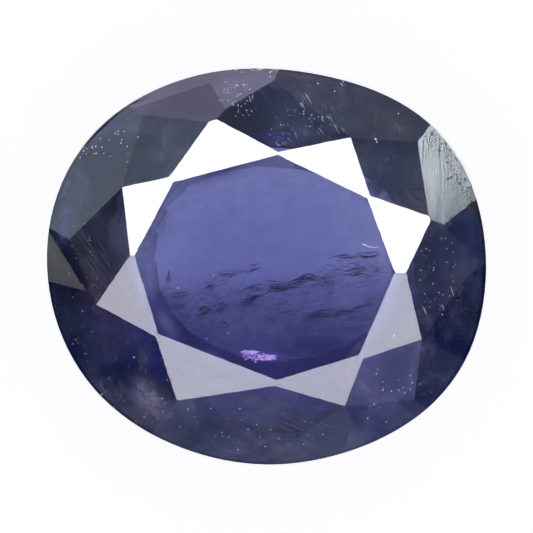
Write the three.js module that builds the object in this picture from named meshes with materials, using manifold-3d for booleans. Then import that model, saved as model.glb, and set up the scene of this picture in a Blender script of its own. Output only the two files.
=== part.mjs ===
// Iolite gemstone: an oval mixed cut, with a brilliant crown over a step-cut pavilion.
// Millimetres. The stone lies on its flat base facet at Z = 0 with its table up.
// +X runs along the length of the oval and +Y across it. Azimuths are counter-clockwise from +X.
import * as THREE from 'three';
import { mergeVertices } from 'three/addons/utils/BufferGeometryUtils.js';
import Module from 'manifold-3d';

// Outline of the girdle, seen from above
const stoneLength = 11.1;
const stoneWidth = 10.0;
const shoulder = 0.046;         // the oval is a little fuller between its axes than an ellipse
const outlineSides = 112;
// How the hand-cut outline strays from a circle: lobes round the stone, mm, azimuth of one lobe
const outlineWaves = [
  { lobes: 1, height: 0.059, azimuth: 71 },
  { lobes: 2, height: (stoneLength - stoneWidth) / 4 + 0.018, azimuth: -3.7 },
  { lobes: 3, height: 0.037, azimuth: 32 },
  { lobes: 4, height: shoulder, azimuth: 45 },
  { lobes: 5, height: 0.021, azimuth: 41 },
  { lobes: 6, height: 0.021, azimuth: 33 },
];

// Heights
const pavilionDepth = 3.6;
const girdleThickness = 0.45;
const crownHeight = 1.42;
const girdleTop = pavilionDepth + girdleThickness;
const tableHeight = girdleTop + crownHeight;

// Crown, clockwise from the +Y side. Each corner of the table has a short crest between its two
// stars, and a bezel that ends just short of the girdle. Places are [azimuth, reach from the centre].
const corners = [
  { table: [84.3, 2.83], crest: 0.07, bezelEnd: [88.0, 4.70] },
  { table: [34.4, 3.06], crest: 0.09, bezelEnd: [39.7, 4.94] },
  { table: [357.6, 3.22], crest: 0.28, bezelEnd: [1.1, 5.34] },
  { table: [316.4, 3.20], crest: 0.14, bezelEnd: [318.0, 5.00] },
  { table: [275.0, 2.85], crest: 0.15, bezelEnd: [272.0, 4.72] },
  { table: [211.6, 3.20], crest: 0.09, bezelEnd: [216.8, 4.93] },
  { table: [175.1, 3.33], crest: 0.11, bezelEnd: [172.2, 5.03] },
  { table: [137.8, 3.17], crest: 0.16, bezelEnd: [129.1, 4.95] },
];
// Each star lies between the corner before it and its own. Its two breaks meet at a ridge from its
// tip to the girdle, which ends ridgeDrop below the girdle's top edge. Three breaks miss the tip: meets
// gives the place, on the bezel beside it, that such a break passes through instead.
const stars = [
  { tip: [109.9, 4.01], tilt: 18, ridge: 108.0, ridgeDrop: 0.2, meets: [[112.7, 3.96], null] },
  { tip: [57.1, 3.88], tilt: 18, ridge: 60.0, ridgeDrop: 0.1 },
  { tip: [16.7, 4.34], tilt: 18, ridge: 18.0, ridgeDrop: 0.2, meets: [[18.0, 4.27], [13.4, 4.58]] },
  { tip: [335.0, 4.30], tilt: 18, ridge: 334.9, ridgeDrop: 0 },
  { tip: [299.3, 4.01], tilt: 18.5, ridge: 299.0, ridgeDrop: 0 },
  { tip: [236.1, 4.05], tilt: 15.5, ridge: 235.0, ridgeDrop: 0 },
  { tip: [192.4, 4.39], tilt: 18, ridge: 190.0, ridgeDrop: 0 },
  { tip: [151.0, 4.15], tilt: 18, ridge: 150.3, ridgeDrop: 0 },
];

// Pavilion: rows of facets parallel to the girdle. inset is how far in from the outline a row's
// upper edge lies, and tilt is the row's angle from the level, which is less by lean on the
// shallow side of the stone and more by lean on the opposite side. The last row meets the base
// facet. The rows were cut a little off the middle, so each is shifted in proportion to its inset.
const pavilionFacets = 22;
const firstFacetAzimuth = 5;
const shallowSide = 125;
const rowShift = { azimuth: 18, share: 0.08 };
const pavilionRows = [
  { inset: 0, tilt: 58, lean: 0 },
  { inset: 0.8, tilt: 41.5, lean: 1.7 },
  { inset: 2.55, tilt: 35, lean: 0 },
  { inset: 2.8, tilt: 31, lean: 0 },
  { inset: 3.05, tilt: 26, lean: 0 },
  { inset: 3.3, tilt: 19, lean: 0 },
];

const lapSize = 24;             // the grinding block, larger than the stone
const weldDistance = 1e-3;

const wasm = await Module();
wasm.setup();

const up = new THREE.Vector3(0, 0, 1);

// How far the outline lies from the centre at an azimuth in degrees
function outlineReach(azimuth) {
  let reach = (stoneLength + stoneWidth) / 4 + shoulder;
  for (const wave of outlineWaves) {
    reach += wave.height * Math.cos(wave.lobes * THREE.MathUtils.degToRad(azimuth - wave.azimuth));
  }
  return reach;
}

function place([azimuth, reach], height) {
  const turn = THREE.MathUtils.degToRad(azimuth);
  return new THREE.Vector3(reach * Math.cos(turn), reach * Math.sin(turn), height);
}

// A facet's plane, with its normal out of the stone
function planeThrough(a, b, c) {
  const plane = new THREE.Plane().setFromCoplanarPoints(a, b, c);
  return plane.normal.z < 0 ? plane.negate() : plane;
}

// The point of a plane straight above or below a point
function onPlane(plane, point) {
  const height = -(plane.constant + plane.normal.x * point.x + plane.normal.y * point.y) / plane.normal.z;
  return new THREE.Vector3(point.x, point.y, height);
}

function toSolid(geometry) {
  geometry.deleteAttribute('normal');
  geometry.deleteAttribute('uv');
  const merged = mergeVertices(geometry);
  return new wasm.Manifold(new wasm.Mesh({
    numProp: 3,
    vertProperties: merged.attributes.position.array,
    triVerts: new Uint32Array(merged.index.array),
  }));
}

// Grinds one flat facet: everything above its plane comes off
function grind(solid, plane) {
  const lap = new THREE.BoxGeometry(lapSize, lapSize, lapSize);
  lap.translate(0, 0, lapSize / 2);
  lap.applyQuaternion(new THREE.Quaternion().setFromUnitVectors(up, plane.normal));
  const onFacet = plane.coplanarPoint(new THREE.Vector3());
  lap.translate(onFacet.x, onFacet.y, onFacet.z);
  return solid.subtract(toSolid(lap));
}

// The rough oval, straight-sided, from the base facet up to the table
function roughOval() {
  const outline = new THREE.Shape();
  for (let side = 0; side < outlineSides; side++) {
    const azimuth = (side * 360) / outlineSides;
    const point = place([azimuth, outlineReach(azimuth)], 0);
    if (side === 0) {
      outline.moveTo(point.x, point.y);
    } else {
      outline.lineTo(point.x, point.y);
    }
  }
  outline.closePath();
  return toSolid(new THREE.ExtrudeGeometry(outline, { depth: tableHeight, bevelEnabled: false }));
}

// A star slopes down from one edge of the table
function starPlane(index) {
  const before = place(corners[(index + 7) % 8].table, tableHeight);
  const after = place(corners[index].table, tableHeight);
  const edge = after.clone().sub(before).normalize();
  const outward = new THREE.Vector3(-edge.y, edge.x, 0);
  if (outward.dot(after) < 0) {
    outward.negate();
  }
  const tilt = THREE.MathUtils.degToRad(stars[index].tilt);
  const normal = outward.multiplyScalar(Math.sin(tilt)).addScaledVector(up, Math.cos(tilt));
  return new THREE.Plane().setFromNormalAndCoplanarPoint(normal, after);
}

// Table, stars, bezels and breaks, in the order in which they are placed
function crownPlanes() {
  const starPlanes = stars.map((star, index) => starPlane(index));
  const tips = stars.map((star, index) => onPlane(starPlanes[index], place(star.tip, 0)));

  const bezelPlanes = corners.map((corner, index) => {
    const next = (index + 1) % 8;
    const tableCorner = place(corner.table, tableHeight);
    const crest = starPlanes[index].normal.clone().cross(starPlanes[next].normal).normalize();
    if (crest.z > 0) {
      crest.negate();
    }
    const level = Math.hypot(crest.x, crest.y);
    const crestEnd = tableCorner.addScaledVector(crest, corner.crest / level);
    return planeThrough(crestEnd, tips[index], tips[next]);
  });

  const breakPlanes = stars.flatMap((star, index) => {
    const ridgeEnd = place([star.ridge, outlineReach(star.ridge)], girdleTop - star.ridgeDrop);
    return [(index + 7) % 8, index].map((corner, side) => {
      const bezelEnd = onPlane(bezelPlanes[corner], place(corners[corner].bezelEnd, 0));
      const miss = star.meets?.[side];
      const meet = miss ? onPlane(bezelPlanes[corner], place(miss, 0)) : tips[index];
      return planeThrough(meet, bezelEnd, ridgeEnd);
    });
  });
  return [...starPlanes, ...bezelPlanes, ...breakPlanes];
}

// Step rows below the girdle, each facet square to the outline where it lies
function pavilionPlanes() {
  const planes = [];
  for (let facet = 0; facet < pavilionFacets; facet++) {
    const azimuth = firstFacetAzimuth + (facet * 360) / pavilionFacets;
    const ahead = place([azimuth + 1, outlineReach(azimuth + 1)], 0);
    const behind = place([azimuth - 1, outlineReach(azimuth - 1)], 0);
    const along = ahead.sub(behind).normalize();
    const outward = new THREE.Vector3(along.y, -along.x, 0);
    const inward = 1 - place([rowShift.azimuth, rowShift.share], 0).dot(outward);
    const shallow = Math.cos(THREE.MathUtils.degToRad(azimuth - shallowSide));
    const edge = place([azimuth, outlineReach(azimuth)], pavilionDepth);
    pavilionRows.forEach((row, index) => {
      const tilt = THREE.MathUtils.degToRad(row.tilt - row.lean * shallow);
      const normal = outward.clone().multiplyScalar(Math.sin(tilt)).addScaledVector(up, -Math.cos(tilt));
      planes.push(new THREE.Plane().setFromNormalAndCoplanarPoint(normal, edge));
      const reach = ((pavilionRows[index + 1] ?? row).inset - row.inset) * inward;
      edge.addScaledVector(outward, -reach).addScaledVector(up, -reach * Math.tan(tilt));
    });
  }
  return planes;
}

function cutStone() {
  let stone = roughOval();
  for (const plane of [...crownPlanes(), ...pavilionPlanes()]) {
    stone = grind(stone, plane);
  }
  const cut = stone.getMesh();
  const geometry = new THREE.BufferGeometry();
  geometry.setAttribute('position', new THREE.BufferAttribute(cut.vertProperties, 3));
  geometry.setIndex(new THREE.BufferAttribute(cut.triVerts, 1));
  return mergeVertices(geometry, weldDistance);
}

const ioliteBlue = new THREE.MeshStandardMaterial({
  color: '#4a4a86',
  roughness: 0.05,
  metalness: 0,
  flatShading: true,
});

const gemstone = new THREE.Mesh(cutStone(), ioliteBlue);
gemstone.name = 'gemstone';

// The origin is at the middle of the stone's box, on the base facet
gemstone.geometry.computeBoundingBox();
const middle = gemstone.geometry.boundingBox.getCenter(new THREE.Vector3());
gemstone.position.set(-middle.x, -middle.y, 0);

const group = new THREE.Group();
group.add(gemstone);

export default group;
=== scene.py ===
# Oval iolite gemstone: its looks, in metres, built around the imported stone
import math
import random

import bmesh
import bpy
from mathutils import Matrix, Vector
from mathutils.bvhtree import BVHTree


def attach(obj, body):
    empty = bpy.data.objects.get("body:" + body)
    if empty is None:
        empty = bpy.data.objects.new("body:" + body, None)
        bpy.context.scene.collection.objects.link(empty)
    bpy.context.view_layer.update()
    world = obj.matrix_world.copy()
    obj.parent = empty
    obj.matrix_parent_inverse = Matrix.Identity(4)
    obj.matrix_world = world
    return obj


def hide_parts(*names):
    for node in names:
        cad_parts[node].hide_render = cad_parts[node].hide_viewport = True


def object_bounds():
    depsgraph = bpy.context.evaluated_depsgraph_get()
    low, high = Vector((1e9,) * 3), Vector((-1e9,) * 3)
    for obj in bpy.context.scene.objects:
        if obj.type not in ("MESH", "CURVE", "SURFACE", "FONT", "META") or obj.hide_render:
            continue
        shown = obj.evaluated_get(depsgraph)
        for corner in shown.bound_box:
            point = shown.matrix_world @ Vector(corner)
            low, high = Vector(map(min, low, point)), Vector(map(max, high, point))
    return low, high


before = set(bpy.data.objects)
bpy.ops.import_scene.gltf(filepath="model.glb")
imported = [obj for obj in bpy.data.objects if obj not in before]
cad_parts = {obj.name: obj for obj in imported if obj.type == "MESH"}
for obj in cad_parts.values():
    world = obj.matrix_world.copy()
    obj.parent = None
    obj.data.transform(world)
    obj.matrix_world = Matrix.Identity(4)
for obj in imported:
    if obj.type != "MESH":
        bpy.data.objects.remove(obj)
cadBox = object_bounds()
print("frame loaded")

mm = 0.001
scene = bpy.context.scene
scene.view_settings.view_transform = "Standard"  # plain colours, as a catalogue picture has
dice = random.Random(11)


def hexColour(code, alpha=1.0):  # sRGB hex to the linear values that Blender wants
    channels = [int(code[i : i + 2], 16) / 255 for i in (1, 3, 5)]
    linear = [c / 12.92 if c <= 0.04045 else ((c + 0.055) / 1.055) ** 2.4 for c in channels]
    return (*linear, alpha)


def addNode(tree, kind, settings=None, inputs=None):
    node = tree.nodes.new(kind)
    for name, value in (settings or {}).items():
        setattr(node, name, value)
    for socket, value in (inputs or {}).items():
        if isinstance(value, bpy.types.NodeSocket):
            tree.links.new(value, node.inputs[socket])
        else:
            node.inputs[socket].default_value = value
    return node


def newMaterial(name):
    material = bpy.data.materials.new(name)
    material.use_nodes = True
    material.node_tree.nodes.clear()
    return material, material.node_tree


def placeObject(name, mesh):
    thing = bpy.data.objects.new(name, mesh)
    scene.collection.objects.link(thing)
    return thing


# What lies in or on the stone moves with it and takes the finish it is given
def inclusionObject(name, bm, material):
    mesh = bpy.data.meshes.new(name)
    bm.to_mesh(mesh)
    bm.free()
    mesh.materials.append(material)
    thing = placeObject(name, mesh)
    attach(thing, "root")
    return thing


def smoothPath(points, steps=6):  # a Catmull-Rom curve through given points
    ends = [points[0], *points, points[-1]]
    path = []
    for a, b, c, d in zip(ends, ends[1:], ends[2:], ends[3:]):
        for step in range(steps):
            t = step / steps
            curve = (3 * b - a - 3 * c + d) * t**3 + (2 * a - 5 * b + 4 * c - d) * t**2 + (c - a) * t
            path.append(b + curve / 2)
    path.append(points[-1].copy())
    return path


def addThread(bm, path, width):  # a closed three-sided thread that tapers to a point at both ends
    last = len(path) - 1
    rings = []
    for index in range(1, last):
        ahead = (path[index + 1] - path[index - 1]).normalized()
        side = ahead.cross(Vector((0, 0, 1))).normalized()
        lift = side.cross(ahead)
        reach = width / 2 * math.sqrt(math.sin(math.pi * index / last))
        ring = []
        for degrees in (90, 210, 330):
            turn = math.radians(degrees)
            ring.append(bm.verts.new(path[index] + (side * math.cos(turn) + lift * math.sin(turn)) * reach))
        rings.append(ring)
    tips = [bm.verts.new(path[0]), bm.verts.new(path[last])]
    for corner in range(3):
        other = (corner + 1) % 3
        bm.faces.new((tips[0], rings[0][other], rings[0][corner]))
        bm.faces.new((tips[1], rings[-1][corner], rings[-1][other]))
        for near, far in zip(rings, rings[1:]):
            bm.faces.new((near[corner], near[other], far[other], far[corner]))


def addSpeck(bm, centre, size):  # a many-sided crumb, stretched and turned at random
    half = size / 2
    stretch = Matrix.Diagonal((half, half * dice.uniform(0.5, 1), half * dice.uniform(0.4, 0.9), 1))
    aroundZ = Matrix.Rotation(dice.uniform(0, math.tau), 4, "Z")
    aroundX = Matrix.Rotation(dice.uniform(0, math.tau), 4, "X")
    place = Matrix.Translation(centre) @ (aroundZ @ aroundX) @ stretch
    bmesh.ops.create_icosphere(bm, subdivisions=1, radius=1, matrix=place)


def placeInOval(patch):  # a place at random in a patch's oval, in mm
    turn = dice.uniform(0, math.tau)
    reach = math.sqrt(dice.uniform(0, 1))
    x = patch["middle"][0] + patch["half"][0] * reach * math.cos(turn)
    y = patch["middle"][1] + patch["half"][1] * reach * math.sin(turn)
    return x, y


def softOval(patch, x, y):  # 1 in the middle of a patch, and less towards its edge and past it
    turn = math.radians(patch["turn"])
    dx = x - patch["middle"][0]
    dy = y - patch["middle"][1]
    along = (dx * math.cos(turn) + dy * math.sin(turn)) / patch["half"][0]
    across = (dy * math.cos(turn) - dx * math.sin(turn)) / patch["half"][1]
    return math.exp(-(along**2) - across**2)


def pointing(azimuth, fromTop):  # a direction: degrees round from +X, and degrees from straight up
    turn = math.radians(azimuth)
    lean = math.radians(fromTop)
    return Vector((math.sin(lean) * math.cos(turn), math.sin(lean) * math.sin(turn), math.cos(lean)))


# Where the four cross-sections of a short needle lie, as shares of half its length
needleShares = (-1, -0.4, 0.4, 1)


# The stone: one clear crystal, its facets flat and crisp
stone = {
    "node": "gemstone",
    "weld": 1e-7,  # metres
    "facetAngle": 0.3,  # degrees between two faces of one facet, at most
    "girdleUpright": 0.02,  # a face is girdle where its normal leans less than this
    "ior": 1.545,
    "crownPolish": 0.0,  # roughness of the facets that face up
    "pavilionPolish": 0.08,  # the back is left less well polished
    "girdleMatt": 0.45,
    "scuffed": {"azimuth": 28, "tilt": 42.8, "roughness": 0.2},  # one facet was never fully polished
    # its furrows, per metre: 0.125 mm across and 2.9 mm along. The lap leaves finer ones, too fine to
    # show here, so they are drawn this coarse
    "furrowScale": (8000, 350, 350),
    "furrowDepth": 0.000007,
    "absorbAt": 368.0,  # per metre, for the colour the stone takes most
    "bodyColour": (0.008, 0.054, 0.56),  # what is left of red, green and blue, against absorbAt
}


def ioliteMaterial():
    # Iolite, the gem form of cordierite, lapped and polished: glassy, its colour is in its depth
    material, tree = newMaterial("iolitePolished")
    finish = addNode(tree, "ShaderNodeAttribute", {"attribute_name": "finish"})
    shader = addNode(
        tree,
        "ShaderNodeBsdfPrincipled",
        inputs={
            "Base Color": (1, 1, 1, 1),
            "Roughness": finish.outputs["Fac"],
            "IOR": stone["ior"],
            "Transmission Weight": 1.0,
        },
    )
    lapped = addNode(tree, "ShaderNodeAttribute", {"attribute_name": "lapped"})
    place = addNode(tree, "ShaderNodeTexCoord")
    alongFurrows = addNode(
        tree,
        "ShaderNodeMapping",
        inputs={"Vector": place.outputs["Object"], "Scale": stone["furrowScale"]},
    )
    furrows = addNode(
        tree,
        "ShaderNodeTexNoise",
        inputs={"Vector": alongFurrows.outputs["Vector"], "Scale": 1.0, "Detail": 3.0, "Roughness": 0.7},
    )
    relief = addNode(
        tree,
        "ShaderNodeBump",
        inputs={
            "Strength": lapped.outputs["Fac"],
            "Distance": stone["furrowDepth"],
            "Height": furrows.outputs["Fac"],
        },
    )
    tree.links.new(relief.outputs["Normal"], shader.inputs["Normal"])
    depth = addNode(
        tree,
        "ShaderNodeVolumeAbsorption",
        inputs={"Color": (*stone["bodyColour"], 1), "Density": stone["absorbAt"]},
    )
    addNode(
        tree,
        "ShaderNodeOutputMaterial",
        inputs={"Surface": shader.outputs["BSDF"], "Volume": depth.outputs["Volume"]},
    )
    return material


scuffedNormal = pointing(stone["scuffed"]["azimuth"], stone["scuffed"]["tilt"])


def scuffedFace(mesh):
    return max(mesh.polygons, key=lambda face: face.normal.dot(scuffedNormal))


def makeStone():
    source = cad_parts[stone["node"]]
    bm = bmesh.new()
    bm.from_mesh(source.data)
    bmesh.ops.remove_doubles(bm, verts=bm.verts, dist=stone["weld"])
    bmesh.ops.dissolve_limit(
        bm,
        angle_limit=math.radians(stone["facetAngle"]),
        verts=bm.verts,
        edges=bm.edges,
    )
    mesh = bpy.data.meshes.new("cutStone")
    bm.to_mesh(mesh)
    bm.free()
    scuffed = scuffedFace(mesh)
    finish = mesh.attributes.new("finish", "FLOAT", "FACE")
    for face in mesh.polygons:
        if abs(face.normal.z) < stone["girdleUpright"]:
            finish.data[face.index].value = stone["girdleMatt"]
        elif face.normal.z < 0:
            finish.data[face.index].value = stone["pavilionPolish"]
        else:
            finish.data[face.index].value = stone["crownPolish"]
    finish.data[scuffed.index].value = stone["scuffed"]["roughness"]
    lapped = mesh.attributes.new("lapped", "FLOAT", "FACE")
    lapped.data[scuffed.index].value = 1.0
    mesh.materials.append(ioliteMaterial())
    cut = placeObject("cut_stone", mesh)
    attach(cut, "root")
    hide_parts(stone["node"])
    return cut


cutStone = makeStone()
skin = BVHTree.FromPolygons(
    [vertex.co.copy() for vertex in cutStone.data.vertices],
    [tuple(face.vertices) for face in cutStone.data.polygons],
)
tableHeight = cadBox[1][2]
print("stone made,", len(cutStone.data.polygons), "faces")


def lookDown(x, y):  # where a line straight down at a place in mm meets the stone, and the normal there
    return skin.ray_cast(Vector((x * mm, y * mm, 2 * tableHeight)), Vector((0, 0, -1)))[:2]


# A place in mm from the middle and how deep it lies under the crown, or None if it is off the stone
def onCrown(x, y, depth=0.0):
    hit = lookDown(x, y)[0]
    return hit and hit - Vector((0, 0, depth * mm))


girdleRay = {"from": 10, "height": 3.7}  # mm


def girdleReach(turn):  # how far the outline lies from the middle, in mm, by a ray from outside
    away = Vector((math.cos(turn), math.sin(turn), 0))
    start = away * girdleRay["from"] * mm + Vector((0, 0, girdleRay["height"] * mm))
    hit = skin.ray_cast(start, -away)[0]
    return math.hypot(hit.x, hit.y) / mm


# Healed fractures stained dark: bundles of hair-thin curved threads. Places are mm from the middle,
# deep is mm under the table, spread is how far the threads stray, and width is one thread's
stains = {
    "bundles": [
        {"path": [(-1.23, -0.25), (-1.07, -0.22), (-0.87, -0.20), (-0.67, -0.16)], "deep": 1.2, "threads": 5},
        {"path": [(-1.53, -0.57), (-1.43, -0.49), (-1.29, -0.44)], "deep": 1.3, "threads": 4},
        {"path": [(-0.44, -0.05), (-0.32, -0.01), (-0.11, 0.02)], "deep": 1.0, "threads": 3, "rusty": True},
        {
            "path": [(-0.67, -0.88), (-0.52, -0.88), (-0.39, -0.81), (-0.24, -0.73), (-0.04, -0.67)],
            "deep": 1.6,
            "threads": 12,
        },
        {
            "path": [
                (-0.24, -0.73), (-0.04, -0.67), (0.14, -0.57),
                (0.34, -0.57), (0.59, -0.50), (0.92, -0.53),
            ],
            "deep": 1.6,
            "threads": 9,
        },
        {
            "path": [(-0.59, -0.68), (-0.47, -0.62), (-0.32, -0.58), (-0.16, -0.57), (-0.01, -0.53)],
            "deep": 1.4,
            "threads": 5,
        },
        {
            "path": [
                (0.34, -0.48), (0.59, -0.43), (0.80, -0.35),
                (1.05, -0.25), (1.25, -0.30), (1.55, -0.33),
            ],
            "deep": 1.3,
            "threads": 10,
        },
        {
            "path": [
                (1.81, -0.20), (1.98, -0.16), (2.16, -0.12),
                (2.36, -0.09), (2.51, -0.12), (2.61, -0.20),
            ],
            "deep": 1.0,
            "threads": 5,
            "rusty": True,
        },
        {"path": [(2.61, -0.20), (2.70, -0.12), (2.77, -0.08), (2.87, 0.03)], "deep": 1.0, "threads": 3},
        {
            "path": [(2.16, 0.29), (2.31, 0.28), (2.51, 0.27), (2.69, 0.29), (2.87, 0.31)],
            "deep": 0.8,
            "threads": 4,
            "rusty": True,
        },
        {"path": [(1.76, 0.23), (1.98, 0.24), (2.18, 0.22)], "deep": 0.9, "threads": 4},
        {
            "path": [
                (0.82, -1.36), (1.02, -1.31), (1.20, -1.24),
                (1.45, -1.20), (1.65, -1.21), (1.86, -1.16),
            ],
            "deep": 1.5,
            "threads": 12,
        },
        {"path": [(1.65, -1.23), (1.86, -1.16), (2.03, -1.13), (2.26, -1.10)], "deep": 1.5, "threads": 7},
        {"path": [(1.98, -1.06), (2.36, -0.98), (2.77, -0.86)], "deep": 1.7, "threads": 4},
        {
            "path": [(-2.49, -0.76), (-2.34, -0.78), (-2.18, -0.73), (-2.06, -0.70), (-1.86, -0.73)],
            "deep": 1.3,
            "threads": 8,
        },
        {
            "path": [(-1.78, -1.31), (-1.68, -1.21), (-1.53, -1.15), (-1.35, -1.07), (-1.28, -0.98)],
            "deep": 1.5,
            "threads": 8,
        },
        {"path": [(-1.76, -1.08), (-1.63, -1.03), (-1.48, -1.00)], "deep": 1.4, "threads": 4},
        {"path": [(-1.30, -1.16), (-1.17, -1.06), (-1.02, -1.00), (-0.85, -1.13)], "deep": 1.5, "threads": 7},
        {"path": [(-2.49, -1.03), (-2.34, -1.02), (-2.11, -1.02)], "deep": 1.4, "threads": 7},
        {"path": [(-2.49, -0.09), (-2.50, -0.22), (-2.49, -0.38)], "deep": 1.1, "threads": 3},
        {"path": [(-1.20, -1.53), (-1.07, -1.51), (-0.95, -1.53)], "deep": 1.8, "threads": 5},
    ],
    "strands": 3,  # drawn for each thread counted above
    "shortest": 5,  # steps along the guide
    "spread": 0.042,
    "width": 0.011,
    "thickness": (0.5, 1.6),  # shares of width
    "rustyShare": 0.5,
    "rippleTurn": 12,  # degrees by which ripples stray from the way they lie
    "rippleLength": (0.2, 1.0),  # shares of length
    "rippleBend": 0.09,
    "rippleRise": 0.1,
    "rippleThickness": (0.3, 0.9),
    # fine ripples of the same stain: where, half sizes, how many, the way they lie, length and depth
    "ripples": [
        {"at": (-1.40, -1.00), "half": (1.20, 0.55), "count": 150, "turn": 20, "length": 0.40, "deep": 1.4},
        {"at": (0.40, -0.75), "half": (1.30, 0.40), "count": 150, "turn": 14, "length": 0.50, "deep": 1.5},
        {"at": (2.10, -0.20), "half": (0.85, 0.35), "count": 110, "turn": 6, "length": 0.45, "deep": 1.1},
        {"at": (-1.25, -0.36), "half": (0.35, 0.08), "count": 14, "turn": 18, "length": 0.40, "deep": 1.0},
        {"at": (-0.60, -0.14), "half": (0.35, 0.06), "count": 14, "turn": 18, "length": 0.40, "deep": 1.0},
        {"at": (2.10, 0.26), "half": (0.70, 0.08), "count": 26, "turn": 2, "length": 0.40, "deep": 0.9},
        {"at": (1.30, -1.35), "half": (1.50, 0.30), "count": 110, "turn": 9, "length": 0.55, "deep": 1.6},
        {"at": (1.53, -0.48), "half": (0.22, 0.22), "count": 34, "turn": 87, "length": 0.22, "deep": 1.2},
        {"at": (-2.60, -0.85), "half": (0.35, 0.30), "count": 50, "turn": -4, "length": 0.35, "deep": 1.2},
        {"at": (-1.70, -1.75), "half": (0.80, 0.25), "count": 60, "turn": -28, "length": 0.35, "deep": 1.6},
        {"at": (0.10, -1.90), "half": (1.80, 0.40), "count": 40, "turn": 6, "length": 0.35, "deep": 1.6},
        {"at": (-2.55, 0.95), "half": (0.10, 0.60), "count": 26, "turn": 70, "length": 0.16, "deep": 1.0},
    ],
}


def stainMaterial(name, colour):
    # Iron oxide in a healed fracture: a dull dark film, brown where it is thick
    material, tree = newMaterial(name)
    shader = addNode(
        tree,
        "ShaderNodeBsdfPrincipled",
        inputs={"Base Color": hexColour(colour), "Roughness": 0.8, "Specular IOR Level": 0.1},
    )
    addNode(tree, "ShaderNodeOutputMaterial", inputs={"Surface": shader.outputs["BSDF"]})
    return material


def addRipple(bm, patch):  # one faint wavy streak, somewhere in its patch
    around = dice.uniform(0, math.tau)
    reach = math.sqrt(dice.uniform(0, 1))
    halfX, halfY = patch["half"]
    middle = Vector((*patch["at"], 0))
    middle += Vector((halfX * reach * math.cos(around), halfY * reach * math.sin(around), 0))
    turn = math.radians(patch["turn"] + dice.gauss(0, stains["rippleTurn"]))
    length = patch["length"]
    along = Vector((math.cos(turn), math.sin(turn), 0)) * length * dice.uniform(*stains["rippleLength"]) / 2
    side = Vector((-along.y, along.x, 0)) * dice.gauss(0, stains["rippleBend"])
    height = tableHeight - (patch["deep"] + dice.gauss(0, stains["rippleRise"])) * mm
    path = []
    for step in range(-3, 4):
        place = (middle + along * step / 3 + side * math.cos(step)) * mm
        path.append(Vector((place.x, place.y, height)))
    addThread(bm, path, stains["width"] * mm * dice.uniform(*stains["rippleThickness"]))


def makeStains():
    dark = bmesh.new()
    rusty = bmesh.new()
    for bundle in stains["bundles"]:
        height = tableHeight - bundle["deep"] * mm
        guide = smoothPath([Vector((x * mm, y * mm, height)) for x, y in bundle["path"]])
        for thread in range(stains["strands"] * bundle["threads"]):
            shift = Vector([dice.gauss(0, stains["spread"]) * mm for axis in range(3)])
            first = dice.randrange(0, len(guide) // 2)
            last = dice.randrange(min(first + stains["shortest"], len(guide) - 1), len(guide))
            bow = dice.gauss(0, stains["spread"]) * mm
            path = []
            for step, point in enumerate(guide[first : last + 1]):
                share = step / (last - first)
                path.append(point + shift + Vector((0, bow * math.sin(math.pi * share), 0)))
            width = stains["width"] * mm * dice.uniform(*stains["thickness"])
            isRusty = bundle.get("rusty") and dice.random() < stains["rustyShare"]
            addThread(rusty if isRusty else dark, path, width)
    for patch in stains["ripples"]:
        for number in range(patch["count"]):
            addRipple(dark, patch)
    inclusionObject("stained_threads", dark, stainMaterial("darkStain", "#241e40"))
    inclusionObject("rusty_threads", rusty, stainMaterial("rustStain", "#4a2c22"))
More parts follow.
